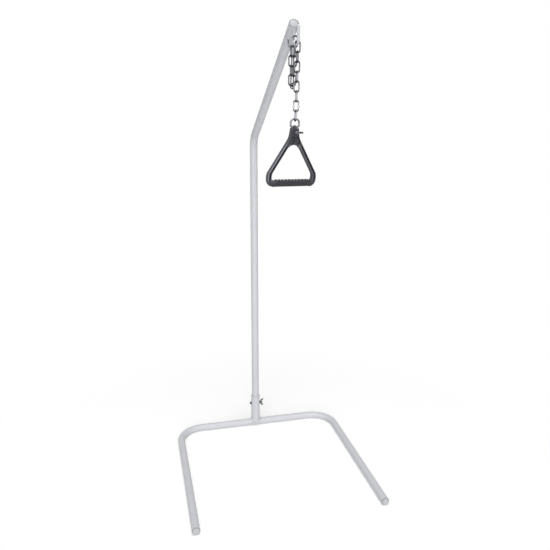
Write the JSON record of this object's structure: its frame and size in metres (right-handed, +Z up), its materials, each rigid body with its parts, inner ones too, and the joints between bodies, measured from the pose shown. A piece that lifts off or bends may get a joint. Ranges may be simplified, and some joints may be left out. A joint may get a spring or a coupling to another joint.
{
  "type": "freestanding trapeze",
  "caption": "Freestanding bed trapeze: a U-shaped tube base with a socket, a bent mast with a rising arm, and a triangular grab handle hung on a short link chain.",
  "frame": {"origin": "on the floor, in the middle of the overall box seen from above; the crossbar is behind it and the leg ends in front", "axes": "+Z up; the legs, the arm and the handle reach towards -Y; the crossbar runs along X"},
  "size_m": [0.8364, 0.8162, 1.9148],
  "materials": {
    "grey_paint": "semi-gloss light grey powder coat",
    "grey_plastic": "satin light grey moulding",
    "zinc_steel": "bright zinc plate",
    "dark_zinc_steel": "dull zinc plate",
    "charcoal_plastic": "fine-grained charcoal moulding"
  },
  "bodies": {
    "stand": {"base_tube": "grey_paint", "leg_plug_left": "grey_plastic", "leg_plug_right": "grey_plastic", "socket_tube": "grey_paint", "weld_bead": "grey_paint", "socket_bush": "grey_plastic", "mast_arm_tube": "grey_paint", "arm_end_cap": "grey_plastic", "arm_hook": "grey_paint", "chain_staple": "zinc_steel", "clamp_bolt": "dark_zinc_steel", "head_washer": "dark_zinc_steel", "nut_washer": "dark_zinc_steel"},
    "clamp_nut": {"clamp_wing_nut": "dark_zinc_steel"},
    "link_1": {"chain_link_1": "zinc_steel"},
    "link_2": {"chain_link_2": "zinc_steel"},
    "link_3": {"chain_link_3": "zinc_steel"},
    "link_4": {"chain_link_4": "zinc_steel"},
    "link_5": {"chain_link_5": "zinc_steel"},
    "link_6": {"chain_link_6": "zinc_steel"},
    "link_7": {"chain_link_7": "zinc_steel"},
    "link_8": {"chain_link_8": "zinc_steel"},
    "ring": {"hanger_ring": "zinc_steel"},
    "grab_handle": {"handle": "charcoal_plastic", "hanger_strap": "dark_zinc_steel", "neck_bolt": "dark_zinc_steel", "neck_washer": "dark_zinc_steel"},
    "neck_nut": {"neck_wing_nut": "dark_zinc_steel"},
    "slack_chain": {"slack_link_1": "zinc_steel", "slack_link_2": "zinc_steel", "slack_link_3": "zinc_steel", "slack_link_4": "zinc_steel", "slack_link_5": "zinc_steel", "slack_link_6": "zinc_steel", "slack_link_7": "zinc_steel", "slack_link_8": "zinc_steel", "slack_link_9": "zinc_steel", "slack_link_10": "zinc_steel"}
  },
  "joints": [
    {"name": "clamp_nut_turn", "type": "hinge", "parent": "stand", "child": "clamp_nut", "pos_m": [0.0242, 0.3827, 0.12685], "axis": [1, 0, 0], "continuous": true},
    {"name": "hook_swing", "type": "hinge", "parent": "stand", "child": "link_1", "pos_m": [0, -0.3667, 1.83174], "axis": [0, 1, 0], "range_deg": [-45, 45]},
    {"name": "link_2_swing", "type": "hinge", "parent": "link_1", "child": "link_2", "pos_m": [-0.00046, -0.3667, 1.80265], "axis": [0.9999, 0, -0.0157], "range_deg": [-45, 18]},
    {"name": "link_3_swing", "type": "hinge", "parent": "link_2", "child": "link_3", "pos_m": [-0.00095, -0.3667, 1.77105], "axis": [0, -1, 0], "range_deg": [-45, 45]},
    {"name": "link_4_swing", "type": "hinge", "parent": "link_3", "child": "link_4", "pos_m": [-0.00145, -0.3667, 1.73946], "axis": [-0.9999, 0, 0.0157], "range_deg": [-24, 45]},
    {"name": "link_5_swing", "type": "hinge", "parent": "link_4", "child": "link_5", "pos_m": [-0.00195, -0.3667, 1.70786], "axis": [0, 1, 0], "range_deg": [-45, 45]},
    {"name": "link_6_swing", "type": "hinge", "parent": "link_5", "child": "link_6", "pos_m": [-0.00244, -0.3667, 1.67626], "axis": [0.9999, 0, -0.0157], "range_deg": [-45, 45]},
    {"name": "link_7_swing", "type": "hinge", "parent": "link_6", "child": "link_7", "pos_m": [-0.00294, -0.3667, 1.64467], "axis": [0, -1, 0], "range_deg": [-45, 45]},
    {"name": "link_8_swing", "type": "hinge", "parent": "link_7", "child": "link_8", "pos_m": [-0.00344, -0.3667, 1.61307], "axis": [-0.9963, 0, 0.0854], "range_deg": [-45, 45]},
    {"name": "ring_swing", "type": "hinge", "parent": "link_8", "child": "ring", "pos_m": [-0.00613, -0.3667, 1.58159], "axis": [0, 1, 0], "range_deg": [-40, 40]},
    {"name": "handle_tilt", "type": "hinge", "parent": "ring", "child": "grab_handle", "pos_m": [-0.00716, -0.36648, 1.56267], "axis": [0.9386, 0.3418, -0.0472], "range_deg": [-60, 60]},
    {"name": "neck_nut_turn", "type": "hinge", "parent": "grab_handle", "child": "neck_nut", "pos_m": [-0.00445, -0.3766, 1.54337], "axis": [0.3408, -0.9397, -0.0292], "continuous": true},
    {"name": "slack_chain_swing", "type": "hinge", "parent": "stand", "child": "slack_chain", "pos_m": [0, -0.28548, 1.83242], "axis": [0, 0.9167, -0.3997], "range_deg": [-12, 12]}
  ]
}
